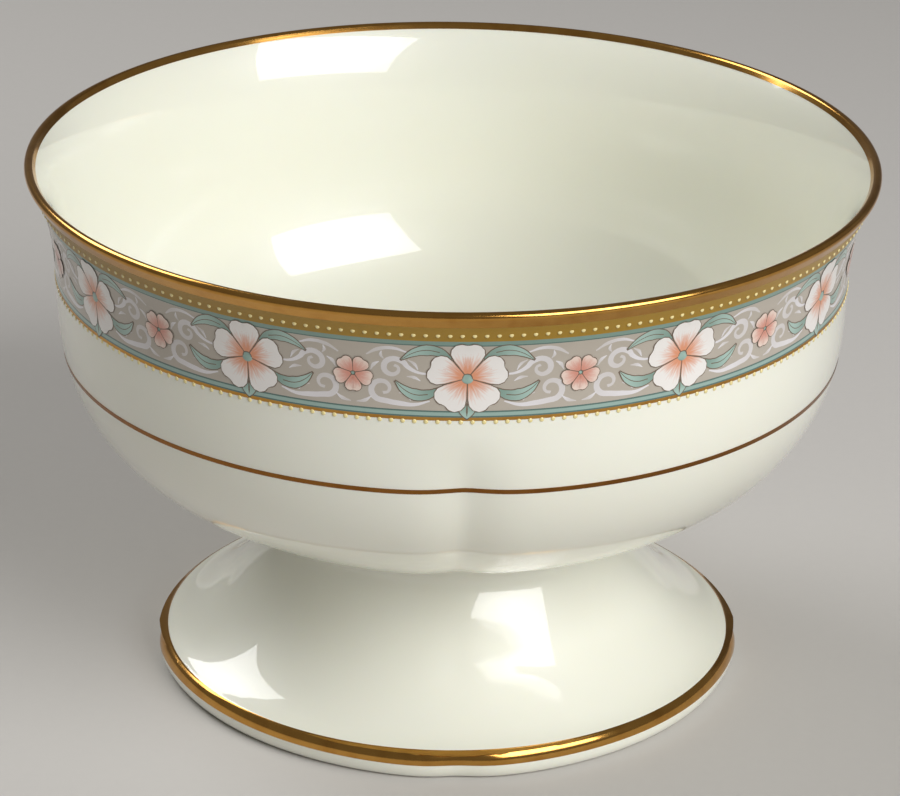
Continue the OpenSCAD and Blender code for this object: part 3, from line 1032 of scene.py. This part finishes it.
def flower_strokes():
    """Half of a flower seen face on, with its leaves and scrolls. Its mirror image is the other half."""
    line = 0.026
    curl = (0.08, 0.085, 0.08, 0.07, 0.055, 0.04, 0.045)
    strokes = [
        ("scroll", [(0.95, 0.1), (1.3, 0.13), (1.6, 0.3)] + volute(1.98, 0.24, 0.33, 140, -1.1),
         (0.02, 0.04, 0.065, *curl)),
        ("scroll", [(1.0, -0.72), (1.4, -0.84), (1.8, -0.82)] + volute(2.25, -0.42, 0.38, -110, 1.05),
         (0.02, 0.05, 0.075, *curl)),
        ("scroll", [(1.62, 0.76), (2.0, 0.88), (2.4, 0.82), (2.7, 0.62)], (0.02, 0.05, 0.06, 0.02)),
        ("scroll", [(1.25, -0.12), (1.42, -0.02), (1.62, 0.0)], (0.01, 0.05, 0.01)),
        ("scroll", [(2.36, 0.42), (2.5, 0.32), (2.58, 0.14)], (0.01, 0.055, 0.01)),
        ("scroll", [(1.5, -0.72), (1.62, -0.56), (1.82, -0.5)], (0.01, 0.05, 0.01)),
        ("scroll", [(2.55, -0.66), (2.72, -0.8), (2.95, -0.86)], (0.01, 0.055, 0.01)),
        ("scroll", [(2.3, 0.77), (2.32, 0.64), (2.24, 0.52)], (0.01, 0.045, 0.01)),
        ("scroll", [(1.32, 0.22), (1.42, 0.4), (1.6, 0.52)], (0.01, 0.045, 0.01))]
    leaf = (0.03, 0.13, 0.165, 0.11, 0.01)
    leaf_paths = [[(0.45, 0.6), (0.75, 0.8), (1.1, 0.86), (1.45, 0.76), (1.78, 0.52)],
                  [(0.75, -0.34), (1.05, -0.52), (1.38, -0.54), (1.68, -0.4), (1.92, -0.16)]]
    for path in leaf_paths:
        strokes += outlined("leaf", [(path, leaf)], line)
        strokes.append(("outline", path[1:], (0.014, 0.012, 0.01, 0.008)))
    bract = [(0.08, -0.7), (0.1, -0.86), (0.11, -1.0), (0.07, -1.1), (0.0, -1.22)]
    strokes += outlined("leaf", [(bract, (0.03, 0.085, 0.09, 0.06, 0.01))], line)
    for axis in (-54, 18):
        strokes += outlined("petal", [petal_lobe(axis, -1), petal_lobe(axis, 1)], line)
    strokes += outlined("petal", [petal_lobe(90, -1)], line)
    return strokes


def floret_strokes():
    """Half of the small flower that stands between two large ones."""
    line, scale = 0.022, 0.5
    strokes = []
    for axis in (54, -18):
        strokes += outlined("floret", [petal_lobe(axis, -1, scale), petal_lobe(axis, 1, scale)], line)
    strokes += outlined("floret", [petal_lobe(-90, 1, scale)], line)
    return strokes


def crosses_ribbon(edge):
    """True for an edge from one side of a ribbon to the other, whose ends are an even vertex and the next one."""
    first, second = sorted(edge.vertices)
    return first % 2 == 0 and second == first + 1


def draw_stroke(points, widths, order):
    """One stroke of the print: a flat ribbon drawn in front of the bowl and pressed onto it, over the last one."""
    s = settings().bands
    unit = s.frieze / 2
    deselect_all()
    bpy.ops.curve.primitive_bezier_curve_add()
    drawn = bpy.context.object
    drawn.data.twist_mode = "Z_UP"
    drawn.data.extrude = unit
    drawn.data.resolution_u = STROKE_POINTS
    knots = drawn.data.splines[0].bezier_points
    knots.add(len(points) - 2)
    for knot, (x, z), width in zip(knots, points, widths):
        knot.co = (x * unit, z * unit, 0)
        knot.handle_left_type = "AUTO"
        knot.handle_right_type = "AUTO"
        knot.radius = width
        knot.tilt = math.pi / 2
    drawn.rotation_euler = (math.pi / 2, 0, 0)
    drawn.location = (0, -DRAWING_DISTANCE * settings().bowl.lip_radius, band_heights()["frieze"] + unit)
    bpy.ops.object.convert(target="MESH")
    bpy.ops.object.transform_apply(location=True, rotation=True, scale=True)
    piece = bpy.context.object
    cuts = round(max(widths) / ACROSS_STEP)
    if cuts:
        # Cut lengthwise, a ribbon can follow the wall across its width
        edit_only(piece, "EDGE", crosses_ribbon)
        bpy.ops.mesh.subdivide_edgering(number_cuts=cuts, interpolation="LINEAR", smoothness=0)
        leave_edit()
    apply_modifier(piece, "SHRINKWRAP", "press", target=bpy.data.objects["porcelain_bowl"], wrap_method="PROJECT",
                   use_project_y=True, offset=s.enamel + (order + 1) * s.stroke_step)
    return piece


def print_motif(name, strokes, first_order, turn, materials):
    """Draws half a motif, mirrors it, and repeats it round the bowl, one piece for each colour."""
    s = settings().bands
    drawn = {}
    for i, (colour_name, points, widths) in enumerate(strokes):
        drawn.setdefault(colour_name, []).append(draw_stroke(points, widths, first_order + i))
    for colour_name, parts in drawn.items():
        pick(*parts)
        bpy.ops.object.join()
        piece = parts[0]
        name_it(piece, f"{name}_{colour_name}")
        edit_only(piece, "FACE", faces_axis)
        bpy.ops.mesh.flip_normals()
        leave_edit()
        apply_modifier(piece, "SOLIDIFY", "thickness", thickness=s.enamel, offset=-1)
        apply_modifier(piece, "MIRROR", "other_half", use_mirror_merge=False)
        edit(piece)
        repeat_round(s.repeats, turn)
        leave_edit()
        bpy.ops.object.shade_smooth_by_angle(angle=EDGE_ANGLE)
        finish_piece(piece, *materials[colour_name])


class BOWL_OT_add_frieze(bpy.types.Operator):
    """Prints the frieze: flowers seen face on, leaves, scrolls and small flowers between them"""
    bl_idname = "bowl.add_frieze"
    bl_label = "Add frieze"

    def execute(self, context):
        s = settings().bands
        c = settings().colours
        materials = {
            "scroll": ("scroll_print", stroke_material("scroll_enamel", c.scroll, c.scroll_tail, streaks=0.0)),
            "leaf": ("leaf_print", stroke_material("leaf_enamel", c.teal, c.leaf_tip, streaks=0.15)),
            "outline": ("leaf_print", enamel_material("brown_line_enamel", c.outline, 0.85)),
            "petal": ("blossom_print", stroke_material("petal_enamel", c.blush, c.petal, streaks=0.6, full=0.48)),
            "floret": ("blossom_print", stroke_material("floret_enamel", c.floret, c.floret_tip, streaks=0.6))}
        flower = flower_strokes()
        print_motif("flower", flower, 0, 0.0, materials)
        print_motif("small_flower", floret_strokes(), len(flower), TURN / s.repeats / 2, materials)
        height = band_heights()["frieze"] + s.frieze / 2
        heart = enamel_material("flower_heart_enamel", c.leaf_tip, other=c.teal)
        # Dots begin on the X axis, and the first flower stands a quarter turn from it
        for name, size, place in (("flower_hearts", s.heart, 0.0), ("small_hearts", s.heart / 2, 0.5)):
            turn = (place - s.repeats / 4) * TURN / s.repeats
            finish_piece(dots(name, height, size, s.repeats, s.heart_rise, HEART_SIDES, turn), "leaf_print", heart)
        return {"FINISHED"}


class BOWL_PT_panel(bpy.types.Panel):
    """Lists the steps that make the bowl"""
    bl_idname = "BOWL_PT_panel"
    bl_label = "Porcelain bowl"
    bl_space_type = "VIEW_3D"
    bl_region_type = "UI"
    bl_category = "Bowl"

    def draw(self, context):
        layout = self.layout
        for operator in OPERATORS:
            layout.operator(operator.bl_idname)
        maker = context.scene.bowl_maker
        for group in (maker.bowl, maker.foot, maker.bands, maker.colours, maker.stage, maker.view):
            box = layout.box()
            for name in group.__annotations__:
                box.prop(group, name)


OPERATORS = (BOWL_OT_add_camera, BOWL_OT_add_bowl, BOWL_OT_add_pedestal, BOWL_OT_add_gilding, BOWL_OT_add_bands,
             BOWL_OT_add_frieze, BOWL_OT_add_stage)
GROUPS = (BowlSizes, FootSizes, PrintSizes, BowlColours, StageSizes, ViewSizes, BowlMaker)


def register():
    for cls in (*GROUPS, *OPERATORS, BOWL_PT_panel):
        bpy.utils.register_class(cls)
    bpy.types.Scene.bowl_maker = PointerProperty(type=BowlMaker)


def unregister():
    del bpy.types.Scene.bowl_maker
    for cls in reversed((*GROUPS, *OPERATORS, BOWL_PT_panel)):
        bpy.utils.unregister_class(cls)


def main():
    """Registers the add-on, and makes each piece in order."""
    register()
    bpy.ops.bowl.add_camera()
    bpy.ops.bowl.add_bowl()
    bpy.ops.bowl.add_pedestal()
    bpy.ops.bowl.add_gilding()
    bpy.ops.bowl.add_bands()
    bpy.ops.bowl.add_frieze()
    bpy.ops.bowl.add_stage()


if __name__ == "__main__":
    main()
